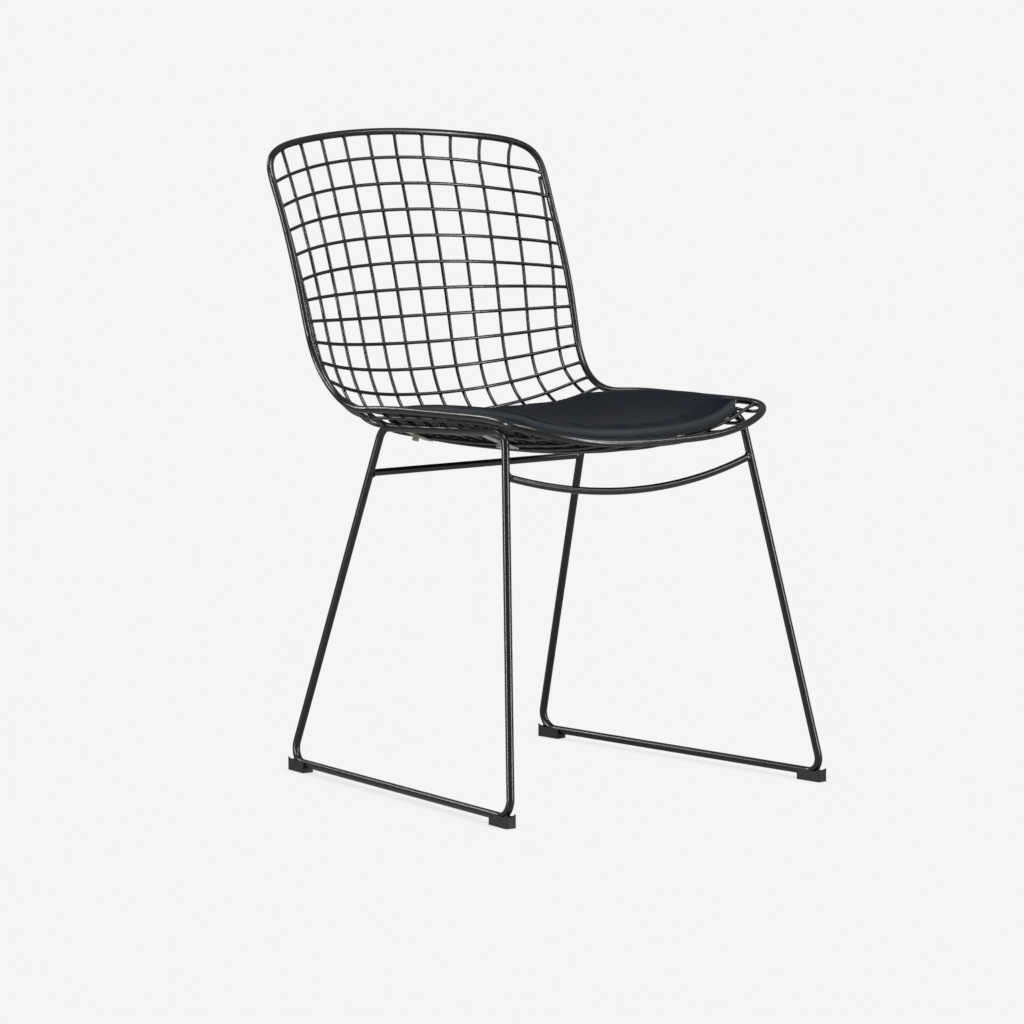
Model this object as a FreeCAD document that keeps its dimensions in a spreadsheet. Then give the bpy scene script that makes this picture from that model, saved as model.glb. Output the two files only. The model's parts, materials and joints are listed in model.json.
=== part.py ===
import FreeCAD, Part
import math
import os

import Sketcher
from FreeCAD import Placement, Rotation, Vector

# Wire mesh dining chair. Millimetres, +Z up, the chair faces -Y.
# The origin lies on the floor, in the middle of the chair's overall outline from above.

doc = FreeCAD.newDocument("wire_mesh_chair")
sheet = doc.addObject("Spreadsheet::Sheet", "sizes")

SIZES = (
    # rods and wires
    ("rim_rod", 9.0),
    ("mesh_wire", 4.4),
    ("frame_rod", 10.0),
    ("bar_rod", 9.0),
    ("weld_gap", 0.1),
    # rim, seen as the control polygon of its centre line
    ("back_width", 444.0),
    ("back_top_height", 811.0),
    ("back_top_reach", 291.7),
    ("top_bow", 55.0),
    ("top_crown", 20.0),
    ("corner_drop", 34.0),
    ("corner_setback", 57.0),
    ("corner_swell", 4.0),
    ("shoulder_drop", 84.0),
    ("shoulder_setback", 80.0),
    ("shoulder_pinch", 2.5),
    ("waist_rise", 80.0),
    ("waist_setback", 16.0),
    ("waist_pinch", 1.0),
    ("hip_rise", 45.0),
    ("hip_reach", 149.7),
    ("hip_narrowing", 5.0),
    ("bend_rise", 7.0),
    ("bend_reach", 113.7),
    ("bend_widening", 5.0),
    ("heel_drop", 15.0),
    ("heel_reach", 72.7),
    ("heel_widening", 7.0),
    ("seat_width", 404.0),
    ("seat_side_height", 479.0),
    ("seat_rear_widening", 5.0),
    ("seat_middle_pinch", 1.0),
    ("seat_front_pinch", 3.0),
    ("seat_corner_reach", -230.3),
    ("seat_corner_widening", 12.0),
    ("seat_front_reach", -279.3),
    ("seat_front_drop", 31.0),
    # centre line of the shell between the top and the front of the rim
    ("upper_back_drop", 93.0),
    ("upper_back_setback", 34.0),
    ("mid_back_rise", 104.0),
    ("mid_back_reach", 219.7),
    ("low_back_rise", 17.0),
    ("low_back_reach", 203.7),
    ("bowl_depth", 56.0),
    ("bowl_rear_rise", 7.0),
    ("bowl_rear_reach", 159.7),
    ("bowl_reach", -33.5),
    ("bowl_front_rise", 4.0),
    ("bowl_front_reach", -185.9),
    # mesh
    ("long_wires", 12.0),
    ("cross_wires", 22.0),
    ("top_edge_gap", 5.37),
    ("seat_edge_gap", 10.73),
    ("edge_crowding", 0.0013),
    ("first_row_drop", 36.0),
    ("last_row_setback", 59.0),
    ("first_row_past_corner", 40.0),
    ("back_row_pitch", 33.0),
    ("bend_row_pitch", 26.0),
    ("last_row_to_front", 233.0),
    ("back_flatness", 0.12),
    ("seat_flatness", 0.34),
    # sled base
    ("toe_angle", 5.3),
    ("lean_angle", 6.85),
    ("base_forward", 40.3),
    ("base_splay", 28.6),
    ("runner_height", 11.2),
    ("foot_spread", 504.0),
    ("rail_rear", 115.0),
    ("rail_front", 159.0),
    ("rail_rise", 16.0),
    ("frame_bend", 20.0),
    ("rear_bar_drop", 58.6),
    ("front_bar_drop", 52.5),
    ("front_bar_sag", 29.0),
    ("front_bar_bow", 8.0),
    # plastic glides
    ("glide_length", 38.0),
    ("glide_width", 15.0),
    ("glide_height", 13.2),
    ("glide_lip", 1.0),
    ("glide_corner", 2.5),
    ("glide_ear", 4.0),
    ("glide_ear_run", 9.0),
    ("glide_ear_tip", 1.0),
    ("glide_gap", 0.15),
    # seat pad and its four fixings
    ("pad_side_gap", 24.0),
    ("pad_front_gap", 27.0),
    ("pad_front_bow", 34.0),
    ("pad_rear_gap", 28.0),
    ("pad_rear_bow", 60.0),
    ("pad_rear_round", 45.0),
    ("pad_band", 12.5),
    ("pad_crown", 9.0),
    ("pad_tuck", 2.5),
    ("pad_clearance", 1.0),
    ("fixing_column", 4.0),
    ("fixing_rear_row", 14.5),
    ("fixing_front_row", 19.5),
    ("fixing_plate_length", 50.0),
    ("fixing_plate_width", 14.0),
    ("fixing_plate_thickness", 1.5),
    ("bolt_shank", 4.0),
    ("bolt_head", 9.0),
    ("bolt_head_height", 6.0),
)

for row_number, (alias, value) in enumerate(SIZES, start=1):
    sheet.set("A%d" % row_number, alias)
    sheet.set("B%d" % row_number, str(value))
    sheet.setAlias("B%d" % row_number, alias)
doc.recompute()


def size(alias):
    return float(getattr(sheet, alias))


RIM_RADIUS = size("rim_rod") / 2
WIRE_RADIUS = size("mesh_wire") / 2
FRAME_RADIUS = size("frame_rod") / 2
BAR_RADIUS = size("bar_rod") / 2
WELD_GAP = size("weld_gap")
# The two layers of wire lie this far to each side of the shell's middle surface.
LAYER = WIRE_RADIUS + WELD_GAP / 2
LONG_WIRES = int(size("long_wires"))
CROSS_WIRES = int(size("cross_wires"))


# Rim: one rod bent round the back and the seat

def mirrored(point):
    return Vector(-point.x, point.y, point.z)


def rim_half_polygon():
    """Control points of the rim's right half, from the top centre to the front centre."""
    half_back = size("back_width") / 2
    half_seat = size("seat_width") / 2
    top_reach = size("back_top_reach")
    top_height = size("back_top_height")
    top = []
    for share in (0.0, 0.35, 0.67, 0.88):
        top.append(Vector(share * half_back,
                          top_reach - size("top_bow") * share ** 2,
                          top_height - size("top_crown") * share ** 2))
    heel = size("heel_reach")
    corner = size("seat_corner_reach")
    seat_run = heel - corner
    front = size("seat_front_reach")
    side_height = size("seat_side_height")
    fall = size("seat_front_drop")
    front_height = side_height - fall
    bend_height = side_height + size("bend_rise")
    hip_height = bend_height + size("hip_rise")
    return top + [
        Vector(half_back + size("corner_swell"), top_reach - size("corner_setback"),
               top_height - size("corner_drop")),
        Vector(half_back - size("shoulder_pinch"), top_reach - size("shoulder_setback"),
               top_height - size("shoulder_drop")),
        Vector(half_back - size("waist_pinch"), size("hip_reach") + size("waist_setback"),
               hip_height + size("waist_rise")),
        Vector(half_back - size("hip_narrowing"), size("hip_reach"), hip_height),
        Vector(half_seat + size("bend_widening"), size("bend_reach"), bend_height),
        Vector(half_seat + size("heel_widening"), heel, bend_height - size("heel_drop")),
        Vector(half_seat + size("seat_rear_widening"), heel - 0.18 * seat_run, side_height),
        Vector(half_seat - size("seat_middle_pinch"), heel - 0.54 * seat_run, side_height),
        Vector(half_seat - size("seat_front_pinch"), heel - 0.85 * seat_run,
               side_height + 0.06 * fall),
        Vector(half_seat + size("seat_corner_widening"), corner, side_height - 0.03 * fall),
        Vector(0.82 * half_seat, front + 0.33 * (corner - front), front_height + 0.48 * fall),
        Vector(0.45 * half_seat, front + 0.04 * (corner - front), front_height),
        Vector(0, front, front_height),
    ]


def rim_curve():
    right = rim_half_polygon()
    left = [mirrored(point) for point in right[1:-1]]
    curve = Part.BSplineCurve()
    # The seam lies at the second pole, the front centre, so the right half never crosses it.
    curve.buildFromPoles(right[-2:] + left[::-1] + right[:-2], True, 3)
    return curve


RIM = rim_curve()
RIM_EDGE = RIM.toShape()
RIM_TOP = RIM.parameter(Vector(0, size("back_top_reach"), size("back_top_height")))
RIM_HALF_LENGTH = RIM.length(RIM_TOP, RIM.LastParameter)


def on_rim(distance):
    """Point of the rim's right half at this distance along it from the top centre."""
    return RIM.value(RIM.parameterAtDistance(distance, RIM_TOP))


def rim_at_width(offset, near):
    """Point of the rim's top or front arch at this sideways offset from the middle."""
    low, high = (0.0, 0.25) if near == "top" else (1.0, 0.8)
    for _ in range(40):
        middle = (low + high) / 2
        if on_rim(middle * RIM_HALF_LENGTH).x < abs(offset):
            low = middle
        else:
            high = middle
    point = on_rim(low * RIM_HALF_LENGTH)
    return point if offset > 0 else mirrored(point)


# Shell: the surface that the mesh follows

def profile_curve():
    """Centre line of the shell, from the top of the rim down the back and along the seat."""
    top = on_rim(0)
    front = on_rim(RIM_HALF_LENGTH)
    curve = Part.BSplineCurve()
    bowl_height = size("seat_side_height") - size("bowl_depth")
    low_back_height = size("seat_side_height") + size("low_back_rise")
    points = [
        top,
        Vector(0, size("back_top_reach") - size("upper_back_setback"),
               size("back_top_height") - size("upper_back_drop")),
        Vector(0, size("mid_back_reach"), size("seat_side_height") + size("mid_back_rise")),
        Vector(0, size("low_back_reach"), low_back_height),
        Vector(0, size("bowl_rear_reach"), bowl_height + size("bowl_rear_rise")),
        Vector(0, size("heel_reach"), bowl_height + 0.2 * size("bowl_rear_rise")),
        Vector(0, size("bowl_reach"), bowl_height - 0.4 * size("bowl_rear_rise")),
        Vector(0, size("bowl_front_reach"), bowl_height + size("bowl_front_rise")),
        front,
    ]
    knots = [0, 1, 2, 3, 4, 5, 6]
    curve.buildFromPolesMultsKnots(points, [4, 1, 1, 1, 1, 1, 4], knots, False, 3)
    return curve


PROFILE = profile_curve()
PROFILE_LENGTH = PROFILE.length()


def on_profile(distance):
    return PROFILE.value(PROFILE.parameterAtDistance(distance, PROFILE.FirstParameter))


def profile_distance(row):
    pitch = PROFILE_LENGTH - size("first_row_drop") - size("last_row_setback")
    pitch /= CROSS_WIRES - 1
    return size("first_row_drop") + (row - 1) * pitch


def rim_distance(row):
    """Rows lie wide apart on the back, closer round the bend and evenly on the seat."""
    start = size("back_width") / 2 + size("first_row_past_corner")
    back_rows = min(row, 5) - 1
    bend_rows = min(max(row - 5, 0), 7)
    seat_start = start + 4 * size("back_row_pitch") + 7 * size("bend_row_pitch")
    seat_end = RIM_HALF_LENGTH - size("last_row_to_front")
    seat_pitch = (seat_end - seat_start) / (CROSS_WIRES - 12)
    return (start + back_rows * size("back_row_pitch") + bend_rows * size("bend_row_pitch")
            + max(row - 12, 0) * seat_pitch)


def flatness(row):
    """Share of the cross section that is flat in the middle and steep at the edge."""
    share = min(max((row - 1) / 11, 0), 1)
    return size("back_flatness") + share * (size("seat_flatness") - size("back_flatness"))


row_ends = {}


def ends_of_row(row):
    if row not in row_ends:
        row_ends[row] = (on_profile(profile_distance(row)), on_rim(rim_distance(row)))
    return row_ends[row]


def on_shell(across, row):
    """Point of the shell: across runs from -1 to 1 between the sides of the rim."""
    centre, edge = ends_of_row(row)
    flat = flatness(row)
    lift = (1 - flat) * across ** 2 + flat * across ** 4
    return Vector(edge.x * across,
                  centre.y + (edge.y - centre.y) * lift,
                  centre.z + (edge.z - centre.z) * lift)


def shell_normal(across, row):
    """Unit normal that points towards the sitter."""
    step = 0.02
    sideways = on_shell(across + step, row) - on_shell(across - step, row)
    forwards = on_shell(across, row + step) - on_shell(across, row - step)
    return forwards.cross(sideways).normalize()


def beside_shell(across, row, offset):
    return on_shell(across, row) + shell_normal(across, row) * offset


def wire_offset(column, row):
    """Sideways place of a long wire, counted in columns from the middle."""
    share = min(max((row - 1) / 9, 0), 1)
    top_reach = size("back_width") / 2 - size("top_edge_gap")
    seat_reach = size("seat_width") / 2 - size("seat_edge_gap")
    outermost = (LONG_WIRES - 1) / 2
    crowding = size("edge_crowding")
    spread = column * (1 - crowding * column ** 2)
    full_spread = outermost * (1 - crowding * outermost ** 2)
    return (top_reach + share * (seat_reach - top_reach)) * spread / full_spread


def crossing(column, row, offset):
    across = wire_offset(column, row) / ends_of_row(row)[1].x
    return beside_shell(across, row, offset)


def row_above(reach, width):
    """Row number at which the shell passes this depth at this sideways offset."""
    low, high = 9.0, CROSS_WIRES + 1.4
    for _ in range(22):
        middle = (low + high) / 2
        if on_shell(width / ends_of_row(middle)[1].x, middle).y > reach:
            low = middle
        else:
            high = middle
    return low


def trimmed_end(inner, outer):
    """Point between inner and outer where a wire's end just clears the rim."""
    direction = (outer - inner).normalize()
    low, high = 0.0, 1.0
    for _ in range(30):
        middle = (low + high) / 2
        point = inner + (outer - inner) * middle
        distance, nearest, _ = RIM_EDGE.distToShape(Part.Vertex(point))
        along_rim = RIM.tangent(RIM.parameter(nearest[0][0]))[0]
        slant = abs(along_rim.dot(direction))
        if distance > RIM_RADIUS + WELD_GAP + WIRE_RADIUS * slant:
            low = middle
        else:
            high = middle
    return inner + (outer - inner) * low


def smooth_curve(points):
    curve = Part.BSplineCurve()
    curve.interpolate(points)
    return curve


def rod(curve, radius):
    """Round rod along a curve."""
    spine = Part.Wire([curve.toShape()])
    start = curve.value(curve.FirstParameter)
    heading = curve.tangent(curve.FirstParameter)[0]
    section = Part.Wire([Part.makeCircle(radius, start, heading)])
    return spine.makePipeShell([section], True, True)


parts = []


def add_part(obj, label):
    obj.Label = label
    parts.append(obj)
    return obj


def add_shape(label, shape):
    obj = doc.addObject("Part::Feature", label)
    obj.Shape = shape
    return add_part(obj, label)


def make_rim():
    left = RIM.copy()
    right = RIM.copy()
    left.segment(RIM.FirstParameter, RIM_TOP)
    right.segment(RIM_TOP, RIM.LastParameter)
    add_shape("rim_rod", rod(left, RIM_RADIUS).fuse(rod(right, RIM_RADIUS)).removeSplitter())


def long_wire_curves():
    """Centre lines of the wires down the back and along the seat, in the outer layer."""
    middle = (LONG_WIRES - 1) / 2
    curves = []
    for number in range(LONG_WIRES):
        column = number - middle
        points = [crossing(column, row, -LAYER) for row in range(1, CROSS_WIRES + 1)]
        if abs(column) > middle - 0.5:
            # The outermost wires meet the side of the rim just below the first row.
            points[0] = trimmed_end(points[1], points[0])
        else:
            top = rim_at_width(wire_offset(column, 1) * 1.05, "top")
            points.insert(0, trimmed_end(points[0], top))
        front = rim_at_width(wire_offset(column, CROSS_WIRES), "front")
        points.append(trimmed_end(points[-1], front))
        curves.append(smooth_curve(points))
    return curves


def cross_wire_curves():
    """Centre lines of the wires from side to side, in the layer next to the sitter."""
    middle = (LONG_WIRES - 1) / 2
    curves = []
    for row in range(1, CROSS_WIRES + 1):
        points = [crossing(number - middle, row, LAYER) for number in range(LONG_WIRES)]
        rim_point = ends_of_row(row)[1]
        # The first row lies beside the ends of the outermost long wires.
        points.append(trimmed_end(points[-1], rim_point))
        points.insert(0, trimmed_end(points[0], mirrored(rim_point)))
        curves.append(smooth_curve(points))
    return curves


LONG_CURVES = long_wire_curves()
CROSS_CURVES = cross_wire_curves()


def make_mesh():
    for number, curve in enumerate(LONG_CURVES, start=1):
        add_shape("long_wire_%02d" % number, rod(curve, WIRE_RADIUS))
    for number, curve in enumerate(CROSS_CURVES, start=1):
        add_shape("cross_wire_%02d" % number, rod(curve, WIRE_RADIUS))


# Sled base: two closed frames of round rod, joined by two bars

LEAN = size("lean_angle")
TOE = size("toe_angle")


def frame_placement():
    """Local X runs forwards along the runner, local Y up the frame, Z out of its plane."""
    turn = Rotation(Vector(0, 0, 1), -90 + TOE)
    stand = Rotation(Vector(1, 0, 0), 90 + LEAN)
    half_gap = size("seat_width") / 2 + size("base_splay")
    base = Vector(half_gap, -size("base_forward"), size("runner_height"))
    return Placement(base, turn.multiply(stand))


FRAME = frame_placement()


def on_frame(along, up):
    return FRAME.multVec(Vector(along, up, 0))


def rail_height():
    """Height in the frame's plane at which the straight top rail just meets the mesh."""
    rear = Vector(-size("rail_rear"), 0, 0)
    front = Vector(size("rail_front"), size("rail_rise"), 0)
    bend_share = size("frame_bend") / (front - rear).Length
    start = FRAME.multVec(rear + (front - rear) * bend_share)
    end = FRAME.multVec(front + (rear - front) * bend_share)
    mesh = Part.Compound([curve.toShape() for curve in LONG_CURVES[-3:] + CROSS_CURVES[8:]])
    upwards = FRAME.Rotation.multVec(Vector(0, 1, 0))
    height = size("seat_side_height") - 2 * size("bowl_depth")
    for _ in range(40):
        rail = Part.makeLine(start + upwards * height, end + upwards * height)
        gap = rail.distToShape(mesh)[0] - (FRAME_RADIUS + WIRE_RADIUS + WELD_GAP)
        if gap < 0.001:
            break
        height += gap
    return height


RAIL_UP = rail_height()

FRAME_CORNERS = (
    Vector(size("foot_spread") / 2, 0, 0),
    Vector(size("rail_front"), RAIL_UP + size("rail_rise"), 0),
    Vector(-size("rail_rear"), RAIL_UP, 0),
    Vector(-size("foot_spread") / 2, 0, 0),
)


def rounded_run(corners, radius):
    """Lines and tangent arcs along corners, as (start, end, arc middle or None)."""
    runs = []
    here = corners[0]
    for index in range(1, len(corners) - 1):
        corner = corners[index]
        back = (corners[index - 1] - corner).normalize()
        ahead = (corners[index + 1] - corner).normalize()
        half = back.getAngle(ahead) / 2
        reach = radius / math.tan(half)
        start = corner + back * reach
        end = corner + ahead * reach
        bisector = (back + ahead).normalize()
        centre = corner + bisector * (radius / math.sin(half))
        runs.append((here, start, None))
        runs.append((start, end, centre - bisector * radius))
        here = end
    runs.append((here, corners[-1], None))
    return runs


def origin_plane(body, role):
    for feature in body.Origin.OriginFeatures:
        if feature.Role == role:
            return feature


def new_sketch(body, name, role):
    sketch = body.newObject("Sketcher::SketchObject", name)
    sketch.AttachmentSupport = [(origin_plane(body, role), "")]
    sketch.MapMode = "FlatFace"
    return sketch


def bind_circle(sketch, centre, diameter, expression):
    """Circle at a fixed centre, with its diameter bound to the sheet."""
    circle = sketch.addGeometry(Part.Circle(centre, Vector(0, 0, 1), diameter / 2), False)
    sketch.addConstraint(Sketcher.Constraint("DistanceX", -1, 1, circle, 3, centre.x))
    sketch.addConstraint(Sketcher.Constraint("DistanceY", -1, 1, circle, 3, centre.y))
    index = sketch.addConstraint(Sketcher.Constraint("Diameter", circle, diameter))
    sketch.setExpression("Constraints[%d]" % index, expression)


def make_side_frame(side, label):
    """Closed loop: runner, front leg, top rail and rear leg, with rounded bends."""
    body = doc.addObject("PartDesign::Body", label)
    add_part(body, label)
    start = Vector(0, 0, 0)
    loop = [start] + list(FRAME_CORNERS) + [start]
    path = new_sketch(body, label + "_path", "XY_Plane")
    for begin, end, through in rounded_run(loop, size("frame_bend")):
        if through is None:
            path.addGeometry(Part.LineSegment(begin, end), False)
        else:
            path.addGeometry(Part.Arc(begin, through, end), False)
    for index in range(len(path.Geometry)):
        path.addConstraint(Sketcher.Constraint("Block", index))
    section = new_sketch(body, label + "_section", "YZ_Plane")
    bind_circle(section, start, size("frame_rod"), "sizes.frame_rod")
    pipe = body.newObject("PartDesign::AdditivePipe", label + "_rod")
    pipe.Profile = (section, [""])
    pipe.Spine = (path, [""])
    body.Tip = pipe
    body.Placement = FRAME if side > 0 else mirrored_placement(FRAME)
    return body


def mirrored_placement(placement):
    """The same frame on the other side: mirrored in X, with its plane's X kept forwards."""
    turn = Rotation(Vector(0, 0, 1), -90 - TOE)
    stand = Rotation(Vector(1, 0, 0), 90 - LEAN)
    return Placement(mirrored(placement.Base), turn.multiply(stand))


def leg_point(foot, head, height):
    """Point on a leg's centre line, right side, at this height above the floor."""
    low = on_frame(foot.x, foot.y)
    high = on_frame(head.x, head.y)
    share = (height - low.z) / (high.z - low.z)
    return low + (high - low) * share


def leg_relief(foot, head, side):
    """Cylinder round a leg that a bar's end is coped to."""
    low = on_frame(foot.x, foot.y)
    high = on_frame(head.x, head.y)
    if side < 0:
        low = mirrored(low)
        high = mirrored(high)
    return Part.makeCylinder(FRAME_RADIUS + WELD_GAP, (high - low).Length, low, high - low)


def coped(bar, foot, head):
    """Bar cut at both ends to the round legs, keeping only the stretch between them."""
    for side in (1, -1):
        bar = bar.cut(leg_relief(foot, head, side))
    return max(bar.Solids, key=lambda solid: solid.Volume)


def make_rear_bar():
    foot, head = FRAME_CORNERS[3], FRAME_CORNERS[2]
    right = leg_point(foot, head, on_frame(head.x, head.y).z - size("rear_bar_drop"))
    bar = Part.makeCylinder(BAR_RADIUS, 2 * right.x, mirrored(right), Vector(1, 0, 0))
    add_shape("rear_bar", coped(bar, foot, head))


def make_front_bar():
    """Bar bowed down and slightly forwards, one arc from leg to leg."""
    foot, head = FRAME_CORNERS[0], FRAME_CORNERS[1]
    right = leg_point(foot, head, on_frame(head.x, head.y).z - size("front_bar_drop"))
    middle = Vector(0, right.y - size("front_bar_bow"), right.z - size("front_bar_sag"))
    arc = Part.Arc(mirrored(right), middle, right)
    spine = Part.Wire([arc.toShape()])
    heading = arc.tangent(arc.FirstParameter)[0]
    section = Part.Wire([Part.makeCircle(BAR_RADIUS, mirrored(right), heading)])
    add_shape("front_bar", coped(spine.makePipeShell([section], True, True), foot, head))


# Glides: plastic shoes that the runner's ends sit in

def glide_blank(outer, low):
    """Block with rounded outer corners and a pointed ear at each of them."""
    length = size("glide_length")
    width = size("glide_width")
    ear = size("glide_ear")
    tip = size("glide_ear_tip")
    high = low + size("glide_height")
    block = Part.makeBox(length, width, high + ear - low,
                         Vector(outer - length, -width / 2, low))
    posts = [edge for edge in block.Edges
             if edge.BoundBox.ZLength > ear and edge.BoundBox.XMin > outer - 0.5 * length]
    block = block.makeFillet(size("glide_corner"), posts)
    # The ears rise in a hollow curve along the sides and dip between the corners.
    run = size("glide_ear_run")
    side_radius = (run ** 2 + ear ** 2) / (2 * ear)
    half_dip = width / 2 - tip
    dip_radius = (half_dip ** 2 + ear ** 2) / (2 * ear)
    foot = outer - tip - run
    flat = Part.makeBox(length, width, 2 * ear, Vector(foot - length, -width / 2, high))
    hollow = Part.makeCylinder(side_radius, width, Vector(foot, width / 2, high + side_radius),
                               Vector(0, -1, 0))
    dip = Part.makeCylinder(dip_radius, length, Vector(foot, 0, high + dip_radius),
                            Vector(1, 0, 0))
    return block.cut([flat, hollow, dip])


def make_glide(label, side, end):
    """Shoe with a channel for the runner and the foot of the bend."""
    bend = size("frame_bend")
    foot, head = (FRAME_CORNERS[0], FRAME_CORNERS[1]) if end > 0 else (FRAME_CORNERS[3],
                                                                      FRAME_CORNERS[2])
    inward = Vector(-end, 0, 0)
    arc_centre = foot + inward * (bend / math.tan((head - foot).getAngle(inward) / 2))
    arc_centre.y = bend
    groove_radius = FRAME_RADIUS + size("glide_gap")
    outer = abs(arc_centre.x) + bend + FRAME_RADIUS + size("glide_lip")
    block = glide_blank(outer, -size("runner_height"))
    if end < 0:
        block.rotate(Vector(0, 0, 0), Vector(0, 0, 1), 180)
    upright = Placement(FRAME.Base, Rotation(Vector(0, 0, 1), -90 + TOE))
    block.Placement = upright.multiply(block.Placement)
    across = Vector(0, 0, 2 * groove_radius)
    groove = Part.makeCylinder(groove_radius, abs(arc_centre.x), Vector(0, 0, 0),
                               Vector(end, 0, 0))
    mouth = Part.makePlane(abs(arc_centre.x), bend + groove_radius,
                           Vector(0, 0, -groove_radius)).extrude(across)
    if end < 0:
        mouth.translate(Vector(arc_centre.x, 0, 0))
    elbow = Part.makeCylinder(bend + groove_radius, 2 * groove_radius,
                              arc_centre - across / 2, Vector(0, 0, 1))
    for tool in (groove, mouth, elbow):
        tool.Placement = FRAME.multiply(tool.Placement)
        block = block.cut(tool)
    solid = max(block.Solids, key=lambda piece: piece.Volume)
    if side < 0:
        solid = solid.mirror(Vector(0, 0, 0), Vector(1, 0, 0))
    add_shape(label, solid)


# Seat pad: a thin cushion that follows the bowl of the mesh

def pad_section(share):
    """Closed outline of the pad in a plane across the chair, from front to rear."""
    width = share * (size("seat_width") / 2 - size("pad_side_gap"))
    edge = abs(share)
    front = size("seat_front_reach") + size("pad_front_gap") + size("pad_front_bow") * edge ** 2
    rear = size("bowl_rear_reach") - size("pad_rear_gap")
    rear -= size("pad_rear_bow") * edge ** 3 + size("pad_rear_round") * edge ** 14
    tuck = size("pad_tuck")
    lay = LAYER + WIRE_RADIUS + size("pad_clearance")
    taper = 1 - 0.35 * edge ** 12
    lower = []
    upper = []
    steps = 12
    for step in range(steps + 1):
        along = step / steps
        reach = front + along * (rear - front)
        row = row_above(reach, abs(width))
        across = abs(width) / ends_of_row(row)[1].x
        normal = shell_normal(across, row)
        base = on_shell(across, row).z + lay / normal.z
        crown = size("pad_crown") * (1 - abs(2 * along - 1) ** 4) * (1 - edge ** 6)
        lower.append(Vector(width, reach, base + 0.4 * edge ** 12))
        upper.append(Vector(width, reach, base + size("pad_band") * taper + crown))
    upper[0].y += tuck
    upper[-1].y -= tuck
    front_bulge = (lower[0] + upper[0]) / 2 - Vector(0, tuck, 0)
    rear_bulge = (lower[-1] + upper[-1]) / 2 + Vector(0, tuck, 0)
    edges = []
    for first in range(0, steps, 2):
        edges.append(Part.Arc(lower[first], lower[first + 1], lower[first + 2]).toShape())
    edges.append(Part.Arc(lower[-1], rear_bulge, upper[-1]).toShape())
    for first in range(steps, 0, -2):
        edges.append(Part.Arc(upper[first], upper[first - 1], upper[first - 2]).toShape())
    edges.append(Part.Arc(upper[0], front_bulge, lower[0]).toShape())
    return Part.Wire(edges)


def make_pad():
    shares = (-1.0, -0.96, -0.82, -0.6, -0.3, 0.0, 0.3, 0.6, 0.82, 0.96, 1.0)
    sections = [pad_section(share) for share in shares]
    add_shape("seat_pad", Part.makeLoft(sections, True, False))


def make_fixing(label, side, row):
    """Bolt with a plate that clamps the pad to two long wires from below."""
    column = side * size("fixing_column")
    left = crossing(column - 0.5, row, 0)
    right = crossing(column + 0.5, row, 0)
    middle = (left + right) / 2
    sideways = (right - left).normalize()
    normal = shell_normal(wire_offset(column, row) / ends_of_row(row)[1].x, row)
    normal = (normal - sideways * normal.dot(sideways)).normalize()
    turn = Rotation(sideways, normal.cross(sideways), normal, "XYZ")
    thickness = size("fixing_plate_thickness")
    under_wires = -(LAYER + WIRE_RADIUS + WELD_GAP)

    plate = doc.addObject("Part::Box", label + "_blank")
    plate.setExpression("Length", "sizes.fixing_plate_length")
    plate.setExpression("Width", "sizes.fixing_plate_width")
    plate.setExpression("Height", "sizes.fixing_plate_thickness")
    plate.Placement = Placement(Vector(-size("fixing_plate_length") / 2,
                                       -size("fixing_plate_width") / 2,
                                       under_wires - thickness), Rotation())
    hole = doc.addObject("Part::Cylinder", label + "_hole")
    hole.setExpression("Radius", "sizes.bolt_shank / 2 + sizes.weld_gap")
    hole.Height = 4 * thickness
    hole.Placement = Placement(Vector(0, 0, under_wires - 2 * thickness), Rotation())
    drilled = doc.addObject("Part::Cut", label + "_plate")
    drilled.Base = plate
    drilled.Tool = hole
    drilled.Placement = Placement(middle, turn)
    add_part(drilled, label + "_plate")

    head_top = under_wires - thickness - WELD_GAP
    head = doc.addObject("Part::Prism", label + "_head")
    head.Polygon = 6
    head.setExpression("Circumradius", "sizes.bolt_head / 2")
    head.setExpression("Height", "sizes.bolt_head_height")
    head.Placement = Placement(Vector(0, 0, head_top - size("bolt_head_height")), Rotation())
    shank = doc.addObject("Part::Cylinder", label + "_shank")
    shank.setExpression("Radius", "sizes.bolt_shank / 2")
    shank.Height = LAYER + WIRE_RADIUS + 0.3 * size("pad_clearance") - head_top
    shank.Placement = Placement(Vector(0, 0, head_top), Rotation())
    bolt = doc.addObject("Part::Fuse", label + "_bolt")
    bolt.Base = head
    bolt.Tool = shank
    bolt.Placement = Placement(middle, turn)
    add_part(bolt, label + "_bolt")


make_rim()
make_mesh()
make_side_frame(1, "side_frame_right")
make_side_frame(-1, "side_frame_left")
make_rear_bar()
make_front_bar()
for side, side_name in ((1, "right"), (-1, "left")):
    for end, end_name in ((1, "front"), (-1, "rear")):
        make_glide("glide_%s_%s" % (end_name, side_name), side, end)
make_pad()
for side, side_name in ((1, "right"), (-1, "left")):
    make_fixing("pad_fixing_rear_%s" % side_name, side, size("fixing_rear_row"))
    make_fixing("pad_fixing_front_%s" % side_name, side, size("fixing_front_row"))

doc.recompute()

for obj in doc.Objects:
    if "Invalid" in obj.State or "Error" in obj.State:
        raise RuntimeError("%s did not build: %s" % (obj.Label, obj.State))
for obj in parts:
    if obj.Shape.isNull() or not obj.Shape.isValid() or obj.Shape.Volume <= 0:
        raise RuntimeError("%s has no valid solid" % obj.Label)

os.makedirs("parts", exist_ok=True)
for obj in parts:
    obj.Shape.exportStep("parts/%s.step" % obj.Label)
print("parts written:", len(parts))
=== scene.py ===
import json
import math

import bmesh
import bpy
from mathutils import Matrix, Vector
from mathutils.bvhtree import BVHTree

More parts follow.
